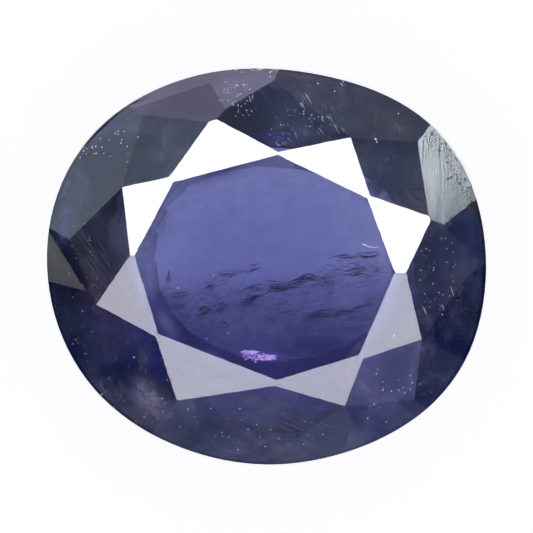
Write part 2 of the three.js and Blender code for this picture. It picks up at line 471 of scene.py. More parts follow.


# The veil: a dark sheet under the table that darkens the window towards the bottom and in soft patches, some
# of them painted shadow under the stain bundles: painted shade.
# Each patch is a soft oval: middle, half sizes, turn in degrees, and how much light it takes
veil = {
    "deep": 0.9,
    "reach": (4.2, 3.9),
    "top": 3.4,
    "cells": (120, 150),
    # how much light it takes at each height in the picture, in mm from the middle
    "ramp": [(3.4, 0), (0.2, 0), (-0.2, 0.08), (-0.6, 0.34), (-1.2, 0.58), (-2.0, 0.74), (-3.9, 0.80)],
    "fadeFrom": 3.4,
    "fadeTo": 4.0,
    "patches": [
        {"middle": (-2.65, -0.85), "half": (0.35, 0.22), "turn": 0, "strength": 0.32},
        {"middle": (-2.35, -1.05), "half": (0.45, 0.25), "turn": -10, "strength": 0.28},
        {"middle": (-1.75, -1.60), "half": (0.75, 0.22), "turn": -33, "strength": 0.35},
        {"middle": (1.55, -0.38), "half": (0.22, 0.28), "turn": 0, "strength": 0.25},
        {"middle": (1.10, -0.50), "half": (0.35, 0.18), "turn": 15, "strength": 0.15},
        {"middle": (2.60, -0.05), "half": (0.40, 0.30), "turn": 10, "strength": 0.20},
        {"middle": (1.60, -1.60), "half": (1.10, 0.40), "turn": 8, "strength": 0.20},
        {"middle": (0.75, -2.05), "half": (1.00, 0.35), "turn": 6, "strength": 0.50},
        {"middle": (1.75, -1.95), "half": (0.55, 0.30), "turn": 20, "strength": 0.35},
        {"middle": (-0.45, -0.95), "half": (0.30, 0.12), "turn": 15, "strength": 0.25},
        {"middle": (-1.10, -1.08), "half": (0.45, 0.14), "turn": 15, "strength": 0.18},
        {"middle": (3.45, -0.70), "half": (0.30, 0.80), "turn": 0, "strength": 0.90},
        {"middle": (2.75, -0.85), "half": (0.40, 0.50), "turn": 0, "strength": 0.30},
        {"middle": (3.15, -1.50), "half": (0.35, 0.70), "turn": -25, "strength": 0.70},
        {"middle": (0.30, 3.10), "half": (0.40, 0.16), "turn": 0, "strength": 0.80},
        {"middle": (-1.15, 2.42), "half": (0.95, 0.17), "turn": 19, "strength": 0.70},
        {"middle": (-2.68, 1.00), "half": (0.12, 0.55), "turn": -18, "strength": 0.20},
    ],
    # soft ovals painted pale: painted light laid in place of the veil's shade
    "pale": [
        {"middle": (-3.02, -0.10), "half": (0.25, 0.66), "turn": 6, "strength": 0.70},
        {"middle": (-2.52, -1.42), "half": (0.18, 0.42), "turn": 30, "strength": 0.40},
        {"middle": (-2.33, -0.78), "half": (0.25, 0.22), "turn": 0, "strength": 0.12},
        {"middle": (-1.30, -2.25), "half": (0.30, 0.10), "turn": -28, "strength": 0.15},
        {"middle": (2.42, -1.85), "half": (0.40, 0.12), "turn": 50, "strength": 0.12},
    ],
}


def veilShade(x, y):  # how thick the veil's painted shade is at a place, in mm from the middle, and its share painted pale
    passed = 1
    for (top, less), (bottom, more) in zip(veil["ramp"], veil["ramp"][1:]):
        if bottom <= y <= top:
            passed = 1 - less - (more - less) * (top - y) / (top - bottom)
    for patch in veil["patches"]:
        passed *= 1 - patch["strength"] * softOval(patch, x, y)
    fade = smoothStep((math.hypot(x, y) - veil["fadeFrom"]) / (veil["fadeTo"] - veil["fadeFrom"]))
    dark = (1 - passed) * (1 - fade)
    clear = 1
    for patch in veil["pale"]:
        clear *= 1 - patch["strength"] * softOval(patch, x, y)
    return 1 - (1 - dark) * clear, (1 - clear) / max(1 - clear + dark * clear, 1e-6)


def smoothStep(share):
    share = min(max(share, 0), 1)
    return share * share * (3 - 2 * share)


def veilMaterial():
    # Painted shade: a dark sheet that dims what is under it, in streaks, and pale where painted light is laid
    # on.
    # Streaks are 0.17 by 1.1 mm and the mottling 0.38 mm
    material, tree = newMaterial("paintedShadeVeil")
    shade = addNode(tree, "ShaderNodeAttribute", {"attribute_name": "shade"})
    place = addNode(tree, "ShaderNodeTexCoord")
    stretch = addNode(
        tree,
        "ShaderNodeMapping",
        inputs={
            "Vector": place.outputs["Object"],
            "Rotation": (0, 0, math.radians(-8)),
            "Scale": (900, 6000, 900),
        },
    )
    streaks = addNode(
        tree,
        "ShaderNodeTexNoise",
        inputs={"Vector": stretch.outputs["Vector"], "Scale": 1.0, "Detail": 5.0, "Roughness": 0.6},
    )
    contrast = addNode(
        tree,
        "ShaderNodeMapRange",
        inputs={
            "Value": streaks.outputs["Fac"],
            "From Min": 0.3,
            "From Max": 0.7,
            "To Min": 0.95,
            "To Max": 1.05,
        },
    )
    cover = addNode(
        tree,
        "ShaderNodeMath",
        {"operation": "MULTIPLY", "use_clamp": True},
        {0: shade.outputs["Fac"], 1: contrast.outputs["Result"]},
    )
    mottle = addNode(
        tree,
        "ShaderNodeTexNoise",
        inputs={"Vector": place.outputs["Object"], "Scale": 2600.0, "Detail": 6.0, "Roughness": 0.7},
    )
    haze = addNode(
        tree,
        "ShaderNodeMapRange",
        inputs={
            "Value": mottle.outputs["Fac"],
            "From Min": 0.35,
            "From Max": 0.7,
            "To Min": 0.0,
            "To Max": 0.14,
        },
    )
    both = addNode(
        tree,
        "ShaderNodeMath",
        {"operation": "ADD", "use_clamp": True},
        {0: cover.outputs["Value"], 1: haze.outputs["Result"]},
    )
    tone = addNode(tree, "ShaderNodeAttribute", {"attribute_name": "tone"})
    # the sheet's colour: dark as painted shade, and pale as painted light where the tone is high
    veilTone = addNode(
        tree,
        "ShaderNodeMix",
        {"data_type": "RGBA"},
        {"Factor": tone.outputs["Fac"], 6: hexColour("#353584"), 7: hexColour("#b0b2f2")},
    )
    shader = addNode(
        tree,
        "ShaderNodeBsdfPrincipled",
        inputs={
            "Base Color": veilTone.outputs[2],
            "Roughness": 1.0,
            "Specular IOR Level": 0.0,
            "Alpha": both.outputs["Value"],
        },
    )
    addNode(tree, "ShaderNodeOutputMaterial", inputs={"Surface": shader.outputs["BSDF"]})
    return material


def makeVeil():
    bm = bmesh.new()
    shadeLayer = bm.verts.layers.float.new("shade")
    toneLayer = bm.verts.layers.float.new("tone")
    across, up = veil["cells"]
    rows = []
    for j in range(up + 1):
        row = []
        for i in range(across + 1):
            x = veil["reach"][0] * (2 * i / across - 1)
            y = (veil["reach"][1] + veil["top"]) * j / up - veil["reach"][1]
            # the film isn't flat: it rolls by up to 0.18 mm
            wave = 0.1 * math.sin(2.1 * x + 0.7 * y) + 0.08 * math.sin(3.3 * y + 1)
            vertex = bm.verts.new((x * mm, y * mm, tableHeight - (veil["deep"] + wave) * mm))
            vertex[shadeLayer], vertex[toneLayer] = veilShade(x, y)
            row.append(vertex)
        rows.append(row)
    for low, high in zip(rows, rows[1:]):
        for i in range(across):
            centre = (low[i].co + high[i + 1].co) / 2
            if math.hypot(centre.x, centre.y) < veil["fadeTo"] * mm:
                bm.faces.new((low[i], low[i + 1], high[i + 1], high[i]))
    loose = [vertex for vertex in bm.verts if not vertex.link_faces]
    bmesh.ops.delete(bm, geom=loose, context="VERTS")
    inclusionObject("painted_shade_veil", bm, veilMaterial())


# Crystals and drops that glow with painted light: size in mm, depth in mm under the facet above them
sparks = {
    "placed": [
        {"at": (-1.33, -0.22), "size": 0.045, "deep": 0.5},
        {"at": (-2.22, -0.54), "size": 0.035, "deep": 0.6},
        {"at": (-0.77, 0.99), "size": 0.030, "deep": 0.8},
        {"at": (-0.97, -1.68), "size": 0.030, "deep": 0.5},
        {"at": (-1.50, -1.81), "size": 0.028, "deep": 0.5},
        {"at": (1.71, 4.40), "size": 0.045, "deep": 0.1},
        {"at": (1.29, 4.60), "size": 0.040, "deep": 0.1},
        {"at": (3.32, 3.84), "size": 0.040, "deep": 0.1},
        {"at": (2.74, 3.20), "size": 0.070, "deep": 0.05},
        {"at": (2.77, 3.13), "size": 0.055, "deep": 0.05},
        {"at": (-3.80, 3.34), "size": 0.040, "deep": 0.1},
        {"at": (-4.15, -3.21), "size": 0.055, "deep": 0.1},
        {"at": (-4.55, -2.19), "size": 0.035, "deep": 0.1},
        {"at": (-4.79, -1.84), "size": 0.030, "deep": 0.1},
        {"at": (-3.32, -2.27), "size": 0.035, "deep": 0.1},
        {"at": (-2.48, -2.84), "size": 0.030, "deep": 0.1},
        {"at": (-0.67, -3.55), "size": 0.035, "deep": 0.1},
        {"at": (-1.40, -3.55), "size": 0.040, "deep": 0.1},
        {"at": (-0.72, -4.60), "size": 0.045, "deep": 0.1},
        {"at": (2.54, -3.80), "size": 0.035, "deep": 0.1},
        {"at": (3.02, -3.90), "size": 0.035, "deep": 0.1},
        {"at": (4.38, -1.20), "size": 0.035, "deep": 0.2},
        {"at": (3.20, -1.74), "size": 0.050, "deep": 0.02},
    ],
    # middle, half sizes, how many, and the size of one
    "swarms": [
        {"middle": (-0.80, 4.28), "half": (0.48, 0.38), "count": 50, "size": 0.030},
        {"middle": (-0.55, 3.92), "half": (0.30, 0.28), "count": 18, "size": 0.026},
        {"middle": (-0.35, 4.93), "half": (0.75, 0.035), "count": 50, "size": 0.032},
        {"middle": (0.10, 4.78), "half": (0.05, 0.16), "count": 9, "size": 0.036},
        {"middle": (0.38, 3.05), "half": (0.16, 0.05), "count": 12, "size": 0.026},
        {"middle": (-4.40, 2.90), "half": (0.25, 0.12), "count": 12, "size": 0.030},
        {"middle": (0.85, 3.65), "half": (0.75, 0.45), "count": 30, "size": 0.026},
        {"middle": (-4.00, 3.20), "half": (0.90, 0.80), "count": 24, "size": 0.032},
        {"middle": (4.30, 0.00), "half": (0.60, 1.40), "count": 46, "size": 0.024},
        {"middle": (3.10, -3.00), "half": (1.20, 0.60), "count": 26, "size": 0.026},
        {"middle": (-2.50, -3.60), "half": (1.80, 0.50), "count": 28, "size": 0.027},
        {"middle": (0.00, -4.10), "half": (1.50, 0.40), "count": 22, "size": 0.027},
        {"middle": (-4.60, -0.60), "half": (0.40, 2.00), "count": 34, "size": 0.025},
    ],
    "swarmDepth": (0.03, 0.5),
    "swarmSizes": (0.5, 1.4),  # shares of size
}


def sparkMaterial(name, colour, glow):
    # Pinpoint crystals, needles and silk in the stone: pale, and made bright by a painted glow from their
    # emission
    material, tree = newMaterial(name)
    shader = addNode(
        tree,
        "ShaderNodeBsdfPrincipled",
        inputs={
            "Base Color": hexColour(colour),
            "Roughness": 0.5,
            # painted light: the emission makes them glow
            "Emission Color": hexColour("#e6e4f6"),
            "Emission Strength": glow,
        },
    )
    addNode(tree, "ShaderNodeOutputMaterial", inputs={"Surface": shader.outputs["BSDF"]})
    return material


def makeSparks(material):
    bm = bmesh.new()
    for spark in sparks["placed"]:
        addSpeck(bm, onCrown(*spark["at"], spark["deep"]), spark["size"] * mm)
    for swarm in sparks["swarms"]:
        for number in range(swarm["count"]):
            x, y = placeInOval(swarm)
            place = onCrown(x, y, dice.uniform(*sparks["swarmDepth"]))
            size = swarm["size"] * mm * dice.uniform(*sparks["swarmSizes"])
            if place:
                addSpeck(bm, place, size)
    inclusionObject("pinpoint_crystals", bm, material)


# Scratches on the polish and pale needles just under it, both glowing with painted light
scratches = {
    "sunk": 0.55,  # how deep a placed scratch lies, as a share of its width
    "needleTurn": 5,  # degrees by which needles stray from the way they lie
    "needleDepth": (0.05, 0.4),
    "needleLength": (0.5, 1.2),  # shares of length
    "placed": [
        {"path": [(2.39, 0.58), (2.51, 0.53), (2.60, 0.49), (2.84, 0.47)], "width": 0.022},
        {"path": [(2.39, 0.58), (2.46, 0.53), (2.52, 0.50)], "width": 0.014},
        {"path": [(4.63, -0.48), (4.72, -0.75)], "width": 0.008},
        {"path": [(3.92, -0.99), (4.02, -1.19)], "width": 0.010},
        {"path": [(4.42, -0.95), (4.47, -1.10)], "width": 0.007},
    ],
    "swarms": [
        # where, half sizes, how many, which way they lie in degrees, length and width of one
        {"at": (0.98, 4.10), "half": (0.13, 0.16), "count": 6, "turn": -66, "length": 0.28, "width": 0.008},
        {"at": (1.43, 3.68), "half": (0.10, 0.10), "count": 4, "turn": -62, "length": 0.20, "width": 0.008},
        {"at": (1.68, 3.54), "half": (0.12, 0.14), "count": 4, "turn": -64, "length": 0.26, "width": 0.007},
        {"at": (1.84, 3.34), "half": (0.10, 0.06), "count": 2, "turn": -52, "length": 0.20, "width": 0.007},
        {"at": (1.28, 3.32), "half": (0.10, 0.06), "count": 2, "turn": -50, "length": 0.22, "width": 0.008},
        {"at": (0.64, 3.20), "half": (0.12, 0.10), "count": 3, "turn": -58, "length": 0.16, "width": 0.008},
        {"at": (0.25, 3.32), "half": (0.20, 0.12), "count": 3, "turn": -56, "length": 0.12, "width": 0.007},
        {"at": (1.90, 4.60), "half": (0.04, 0.03), "count": 2, "turn": -48, "length": 0.16, "width": 0.016},
    ],
    "faint": [
        {"at": (1.30, 3.85), "half": (0.70, 0.50), "count": 26, "turn": -60, "length": 0.09, "width": 0.009},
        {"at": (4.55, -0.90), "half": (0.40, 0.70), "count": 16, "turn": -65, "length": 0.13, "width": 0.006},
        {"at": (3.85, 0.40), "half": (0.30, 0.60), "count": 12, "turn": -20, "length": 0.08, "width": 0.009},
        {"at": (3.10, 3.00), "half": (0.45, 0.80), "count": 16, "turn": -80, "length": 0.14, "width": 0.009},
        {"at": (-4.20, 0.25), "half": (0.35, 0.35), "count": 20, "turn": -52, "length": 0.85, "width": 0.006},
        {"at": (-3.72, -0.55), "half": (0.22, 0.20), "count": 9, "turn": -50, "length": 0.60, "width": 0.011},
        {"at": (-3.60, -3.00), "half": (0.70, 0.80), "count": 18, "turn": 80, "length": 0.20, "width": 0.009},
        {"at": (-4.60, -1.20), "half": (0.40, 1.20), "count": 14, "turn": 84, "length": 0.16, "width": 0.008},
        {"at": (0.95, -3.75), "half": (0.55, 0.30), "count": 14, "turn": -28, "length": 0.50, "width": 0.006},
    ],
}


def addNeedles(bm, swarm):
    for number in range(swarm["count"]):
        x = swarm["at"][0] + swarm["half"][0] * dice.uniform(-1, 1)
        y = swarm["at"][1] + swarm["half"][1] * dice.uniform(-1, 1)
        turn = math.radians(swarm["turn"] + dice.gauss(0, scratches["needleTurn"]))
        half = swarm["length"] * dice.uniform(*scratches["needleLength"]) / 2
        along = Vector((math.cos(turn), math.sin(turn), 0)) * half * mm
        middle = onCrown(x, y, dice.uniform(*scratches["needleDepth"]))
        if middle:
            addThread(bm, [middle + along * share for share in needleShares], swarm["width"] * mm)


def makeScratches(bright, faint):
    bm = bmesh.new()
    for scratch in scratches["placed"]:
        guide = smoothPath([Vector((x, y, 0)) for x, y in scratch["path"]])
        deep = scratch["width"] * scratches["sunk"]
        addThread(bm, [onCrown(point.x, point.y, deep) for point in guide], scratch["width"] * mm)
    for swarm in scratches["swarms"]:
        addNeedles(bm, swarm)
    inclusionObject("scratches_and_needles", bm, bright)
    bm = bmesh.new()
    for swarm in scratches["faint"]:
        addNeedles(bm, swarm)
    inclusionObject("fine_silk", bm, faint)


# Clouds of silk just under the crown, seen in the rim as soft slate, violet and brown patches. Listed ovals
# lay painted shade and painted light over them, darkening or lightening parts of the rim
cloudsWithPaintedShadeAndLight = {
    "inner": 3.0,
    "outer": 0.12,
    "around": 360,
    "rings": 32,
    "deep": 0.25,
    # soft oval patches in mm: middle, half sizes, turn in degrees, colour and how dense. The dark ones are
    # painted shade, the pale ones painted light
    "patches": [
        {"middle": (-4.75, -1.00), "half": (0.70, 1.80), "turn": 8, "colour": "#14162c", "dense": 0.75},
        {"middle": (-5.15, -0.85), "half": (0.30, 0.60), "turn": 10, "colour": "#0c0f1c", "dense": 0.7},
        {"middle": (-5.15, 0.25), "half": (0.70, 0.80), "turn": 0, "colour": "#12162c", "dense": 1.0},
        {"middle": (-4.85, -0.35), "half": (0.50, 0.50), "turn": 0, "colour": "#12162c", "dense": 0.9},
        {"middle": (-4.60, -0.35), "half": (0.35, 0.40), "turn": 0, "colour": "#14182c", "dense": 0.5},
        {"middle": (-5.00, 0.75), "half": (0.25, 0.35), "turn": 0, "colour": "#6a7090", "dense": 0.35},
        {"middle": (4.95, -0.60), "half": (0.55, 1.60), "turn": 0, "colour": "#161a38", "dense": 0.6},
        {"middle": (3.33, 3.43), "half": (0.62, 0.24), "turn": -14, "colour": "#76725a", "dense": 0.5},
        {"middle": (2.75, 3.85), "half": (0.45, 0.22), "turn": -25, "colour": "#7a7068", "dense": 0.2},
        {"middle": (0.55, 4.10), "half": (0.50, 0.30), "turn": 20, "colour": "#5a6a8e", "dense": 0.14},
        {"middle": (2.20, 4.30), "half": (0.60, 0.25), "turn": -25, "colour": "#4c5a66", "dense": 0.14},
        {"middle": (-2.90, -3.30), "half": (0.46, 0.72), "turn": 30, "colour": "#b8b0c8", "dense": 0.80},
        {"middle": (-2.84, -1.95), "half": (0.20, 0.30), "turn": -20, "colour": "#1c1a30", "dense": 0.6},
        {"middle": (-3.70, -3.60), "half": (0.30, 0.22), "turn": -40, "colour": "#a4a6b4", "dense": 0.35},
        {"middle": (-3.85, -1.75), "half": (0.50, 0.60), "turn": 0, "colour": "#1e2454", "dense": 0.5},
        {"middle": (-4.20, -3.15), "half": (0.40, 0.25), "turn": -50, "colour": "#9c9aa8", "dense": 0.50},
        {"middle": (-3.08, -2.31), "half": (0.14, 0.22), "turn": 0, "colour": "#9a8478", "dense": 0.5},
        {"middle": (-3.35, -3.95), "half": (0.35, 0.22), "turn": 35, "colour": "#2c3a30", "dense": 0.5},
        {"middle": (-5.05, 1.20), "half": (0.14, 0.40), "turn": -12, "colour": "#6a5ec8", "dense": 0.6},
        {"middle": (-0.85, -4.62), "half": (0.45, 0.10), "turn": -10, "colour": "#9a80d0", "dense": 0.5},
        {"middle": (-3.40, -1.65), "half": (0.40, 0.22), "turn": -15, "colour": "#4a52b8", "dense": 0.55},
        {"middle": (4.20, 0.95), "half": (0.35, 0.60), "turn": 10, "colour": "#262a48", "dense": 0.5},
        {"middle": (4.45, -2.70), "half": (0.50, 0.60), "turn": 30, "colour": "#3c46a0", "dense": 0.2},
        {"middle": (3.05, 2.60), "half": (0.50, 0.75), "turn": 0, "colour": "#4a5292", "dense": 0.5},
        {"middle": (2.85, 2.00), "half": (0.62, 0.66), "turn": 30, "colour": "#1c1f3e", "dense": 1.0},
        {"middle": (3.60, -0.15), "half": (0.26, 0.62), "turn": 0, "colour": "#14162c", "dense": 1.0},
        {"middle": (5.12, -1.25), "half": (0.32, 0.60), "turn": 15, "colour": "#0a0e20", "dense": 0.8},
        {"middle": (0.60, 3.80), "half": (0.90, 0.50), "turn": 0, "colour": "#4a5690", "dense": 0.32},
    ],
}


def cloudWithPaintedShadeAndLightMaterial():
    # Silk: needles far too fine to see one by one, which give the dark rim a soft mottled bloom. The patch
    # colours on top are painted shade where dark and painted light where pale.
    # Wisps are 1.1 mm, tints 2.2 mm and fibres 0.33 mm: the fibres are drawn coarse enough to show
    material, tree = newMaterial("silkCloudWithPaintedShadeAndLight")
    place = addNode(tree, "ShaderNodeTexCoord")
    drift = addNode(
        tree,
        "ShaderNodeTexNoise",
        inputs={
            "Vector": place.outputs["Object"],
            "Scale": 900.0,
            "Detail": 8.0,
            "Roughness": 0.78,
            "Distortion": 0.6,
        },
    )
    tint = addNode(
        tree,
        "ShaderNodeTexNoise",
        inputs={"Vector": place.outputs["Object"], "Scale": 450.0, "Detail": 2.0},
    )
    colours = addNode(tree, "ShaderNodeValToRGB", inputs={"Fac": tint.outputs["Fac"]})
    stops = [(0.35, "#20264c"), (0.5, "#6a7896"), (0.62, "#7a6a8e"), (0.75, "#8a7468")]
    while len(colours.color_ramp.elements) < len(stops):
        colours.color_ramp.elements.new(1.0)
    for element, (position, code) in zip(colours.color_ramp.elements, stops):
        element.position = position
        element.color = hexColour(code)
    cover = addNode(
        tree,
        "ShaderNodeMapRange",
        inputs={
            "Value": drift.outputs["Fac"],
            "From Min": 0.42,
            "From Max": 0.7,
            "To Min": 0.0,
            "To Max": 0.65,
        },
    )
    patch = addNode(tree, "ShaderNodeAttribute", {"attribute_name": "patch"})
    wisps = addNode(
        tree,
        "ShaderNodeMapRange",
        inputs={
            "Value": drift.outputs["Fac"],
            "From Min": 0.35,
            "From Max": 0.6,
            "To Min": 0.5,
            "To Max": 1.15,
        },
    )
    dense = addNode(
        tree,
        "ShaderNodeMath",
        {"operation": "MULTIPLY", "use_clamp": True},
        {0: patch.outputs["Alpha"], 1: wisps.outputs["Result"]},
    )
    depth = addNode(
        tree,
        "ShaderNodeMath",
        {"operation": "MAXIMUM"},
        {0: cover.outputs["Result"], 1: dense.outputs["Value"]},
    )
    # the patch colours: painted shade where dark, painted light where pale
    shaded = addNode(
        tree,
        "ShaderNodeMix",
        {"data_type": "RGBA"},
        {"Factor": patch.outputs["Alpha"], 6: colours.outputs["Color"], 7: patch.outputs["Color"]},
    )
    fibres = addNode(
        tree,
        "ShaderNodeTexNoise",
        inputs={"Vector": place.outputs["Object"], "Scale": 3000.0, "Detail": 6.0, "Roughness": 0.75},
    )
    sheen = addNode(
        tree,
        "ShaderNodeMapRange",
        inputs={
            "Value": fibres.outputs["Fac"],
            "From Min": 0.35,
            "From Max": 0.65,
            "To Min": 0.5,
            "To Max": 1.5,
        },
    )
    mottled = addNode(
        tree,
        "ShaderNodeMix",
        {"data_type": "RGBA", "blend_type": "MULTIPLY"},
        {"Factor": 1.0, 6: shaded.outputs[2], 7: sheen.outputs["Result"]},
    )
    shader = addNode(
        tree,
        "ShaderNodeBsdfPrincipled",
        inputs={
            "Base Color": mottled.outputs[2],
            "Roughness": 1.0,
            "Specular IOR Level": 0.0,
            "Alpha": depth.outputs["Value"],
        },
    )
    addNode(tree, "ShaderNodeOutputMaterial", inputs={"Surface": shader.outputs["BSDF"]})
    return material


def paintedShadeAndLightColour(x, y):  # the patches' colour at a place, and how dense they are there together
    colour = Vector((0, 0, 0))
    total = 0
    passed = 1
    for patch in cloudsWithPaintedShadeAndLight["patches"]:
        dense = patch["dense"] * softOval(patch, x, y)
        colour += Vector(hexColour(patch["colour"])[:3]) * dense
        total += dense
        passed *= 1 - dense
    return (*(colour / max(total, 1e-6)), 1 - passed)


def makeCloudsWithPaintedShadeAndLight():
    bm = bmesh.new()
    patchLayer = bm.verts.layers.float_color.new("patch")
    spokes = []
    for step in range(cloudsWithPaintedShadeAndLight["around"]):
        turn = math.tau * step / cloudsWithPaintedShadeAndLight["around"]
        outer = girdleReach(turn) - cloudsWithPaintedShadeAndLight["outer"]
        spoke = []
        for ring in range(cloudsWithPaintedShadeAndLight["rings"] + 1):
            reach = cloudsWithPaintedShadeAndLight["inner"] + (outer - cloudsWithPaintedShadeAndLight["inner"]) * ring / cloudsWithPaintedShadeAndLight["rings"]
            x = reach * math.cos(turn)
            y = reach * math.sin(turn)
            vertex = bm.verts.new(onCrown(x, y, cloudsWithPaintedShadeAndLight["deep"]))
            vertex[patchLayer] = paintedShadeAndLightColour(x, y)
            spoke.append(vertex)
        spokes.append(spoke)
    for near, far in zip(spokes, spokes[1:] + spokes[:1]):
        for ring in range(cloudsWithPaintedShadeAndLight["rings"]):
            bm.faces.new((near[ring], near[ring + 1], far[ring + 1], far[ring]))
    inclusionObject("silk_clouds_with_painted_shade_and_light", bm, cloudWithPaintedShadeAndLightMaterial())


# The lilac flash: a small crumpled fracture low in the window that mirrors light, with a painted lilac glow
flash = {
    "lobes": [
        {"middle": (-0.27, -2.27), "half": (0.30, 0.13)},
        {"middle": (-0.42, -2.15), "half": (0.22, 0.05)},
        {"middle": (0.02, -2.29), "half": (0.20, 0.08)},
    ],
    "deep": 0.6,
    "crumple": 0.05,
    "flake": 0.032,
    "count": 130,
    "streaks": 80,
    "streakLength": 0.16,
    "streakWidth": 0.016,
    "streakTurn": -8,
    "streakStray": 12,  # degrees
    "sizes": (0.5, 1.3),  # shares of a flake's size and a streak's width
    "glow": {
        "middle": (-0.15, -2.24),
        "half": (0.62, 0.17),
        "turn": -8,
        "deep": 0.75,
        "strength": 0.8,
        "past": 1.6,  # how far it reaches, against its half sizes
        "rings": 14,
        "around": 60,
    },
}


def flashMaterial():
    # Air film in a fresh fracture: mirror-like flakes with a lilac cast from the stone around them, and a
    # painted lilac glow from their emission
    material, tree = newMaterial("lilacFracturePaintedGlow")
    shader = addNode(
        tree,
        "ShaderNodeBsdfPrincipled",
        inputs={
            "Base Color": hexColour("#e2d4fa"),
            "Roughness": 0.35,
            # painted light: a lilac glow
            "Emission Color": hexColour("#ccb0f4"),
            "Emission Strength": 0.4,
        },
    )
    addNode(tree, "ShaderNodeOutputMaterial", inputs={"Surface": shader.outputs["BSDF"]})
    return material


def flashPlace(number):  # a place at random in one of the lobes
    x, y = placeInOval(flash["lobes"][number % len(flash["lobes"])])
    return onCrown(x, y, flash["deep"] + dice.uniform(-flash["crumple"], flash["crumple"]))


def makeFlash():
    bm = bmesh.new()
    for number in range(flash["count"]):
        addSpeck(bm, flashPlace(number), flash["flake"] * mm * dice.uniform(*flash["sizes"]))
    for number in range(flash["streaks"]):
        middle = flashPlace(number)
        turn = math.radians(flash["streakTurn"] + dice.gauss(0, flash["streakStray"]))
        along = Vector((math.cos(turn), math.sin(turn), 0)) * flash["streakLength"] / 2 * mm
        path = [middle + along * share for share in needleShares]
        addThread(bm, path, flash["streakWidth"] * mm * dice.uniform(*flash["sizes"]))
    inclusionObject("lilac_flash", bm, flashMaterial())


def glowMaterial():
    # Light thrown sideways by the fresh fracture, seen as a violet bloom that thins out round it,
    # uneven in crumples of 0.11 mm
    material, tree = newMaterial("violetBloom")
    shade = addNode(tree, "ShaderNodeAttribute", {"attribute_name": "shade"})
    place = addNode(tree, "ShaderNodeTexCoord")
    crumple = addNode(
        tree,
        "ShaderNodeTexNoise",
        inputs={"Vector": place.outputs["Object"], "Scale": 9000.0, "Detail": 4.0, "Roughness": 0.6},
    )
    uneven = addNode(
        tree,
        "ShaderNodeMapRange",
        inputs={
            "Value": crumple.outputs["Fac"],
            "From Min": 0.35,
            "From Max": 0.65,
            "To Min": 0.2,
            "To Max": 1.0,
        },
    )
    cover = addNode(
        tree,
        "ShaderNodeMath",
        {"operation": "MULTIPLY", "use_clamp": True},
        {0: shade.outputs["Fac"], 1: uneven.outputs["Result"]},
    )
    shader = addNode(
        tree,
        "ShaderNodeBsdfPrincipled",
        inputs={
            "Base Color": hexColour("#8a6ad8"),
            "Roughness": 1.0,
            "Specular IOR Level": 0.0,
            "Emission Color": hexColour("#7d55d2"),
            "Emission Strength": 0.35,
            "Alpha": cover.outputs["Value"],
        },
    )
    addNode(tree, "ShaderNodeOutputMaterial", inputs={"Surface": shader.outputs["BSDF"]})
    return material


def makeGlow():
    glow = flash["glow"]
    bm = bmesh.new()
    shadeLayer = bm.verts.layers.float.new("shade")
    height = tableHeight - glow["deep"] * mm
    turn = math.radians(glow["turn"])
    middle = Vector((glow["middle"][0] * mm, glow["middle"][1] * mm, height))
    centre = bm.verts.new(middle)
    centre[shadeLayer] = glow["strength"]
    rings = []
    for ring in range(1, glow["rings"] + 1):
        share = ring / glow["rings"]
        verts = []
        for step in range(glow["around"]):
            around = math.tau * step / glow["around"]
            x = glow["half"][0] * glow["past"] * share * math.cos(around)
            y = glow["half"][1] * glow["past"] * share * math.sin(around)
            turnedX = x * math.cos(turn) - y * math.sin(turn)
            turnedY = x * math.sin(turn) + y * math.cos(turn)
            vertex = bm.verts.new(middle + Vector((turnedX, turnedY, 0)) * mm)
            vertex[shadeLayer] = glow["strength"] * math.exp(-((glow["past"] * share) ** 2)) * (1 - share)
            verts.append(vertex)
        rings.append(verts)
    for step in range(glow["around"]):
        after = (step + 1) % glow["around"]
        bm.faces.new((centre, rings[0][step], rings[0][after]))
        for near, far in zip(rings, rings[1:]):
            bm.faces.new((near[step], far[step], far[after], near[after]))
    inclusionObject("violet_bloom", bm, glowMaterial())


# Lapping lines and pits on the facet that was never fully polished, drawn dark as painted shade and pale as
# painted light
lapping = {
    "within": 0.5,  # degrees, how near a face's normal is to the scuffed facet's
    "turn": 86,  # degrees, the way the lines run
    "gap": 0.05,
    "pieces": 3,  # lines end to end in each gap
    "before": 0.2,  # mm that a line may start below the facet
    "length": (0.25, 1.1),
    "steps": 8,
    "lift": 0.0015,
    "width": 0.017,
    "thickness": (0.4, 1.2),  # shares of width
    "darkLines": 0.65,  # share of the lines that are dark
    "pits": 170,
    "pitAzimuths": (9, 46),
    "pitSize": 0.055,
    "pitSizes": (0.5, 1.5),  # shares of pitSize
    "pitBand": 0.40,  # pits lie this near to the girdle, in mm
    "pitMargin": 0.045,  # and no nearer than this
    "darkPits": 0.5,
}


def lappingMaterial(name, colour):
    # Cordierite ground but not polished, as in the furrows and on the girdle: dull, and pale or grey. On the
    # scuffed facet the grey is painted shade and the pale is painted light
    material, tree = newMaterial(name)
    shader = addNode(
        tree,
        "ShaderNodeBsdfPrincipled",
        inputs={"Base Color": hexColour(colour), "Roughness": 0.7, "Specular IOR Level": 0.3},
    )
    addNode(tree, "ShaderNodeOutputMaterial", inputs={"Surface": shader.outputs["BSDF"]})
    return material


def onScuffed(x, y, lift):  # a place on the scuffed facet, or None if it is off that facet
    hit, normal = lookDown(x, y)
    if hit and normal.dot(scuffedNormal) > math.cos(math.radians(lapping["within"])):
        return hit + normal * lift * mm
    return None


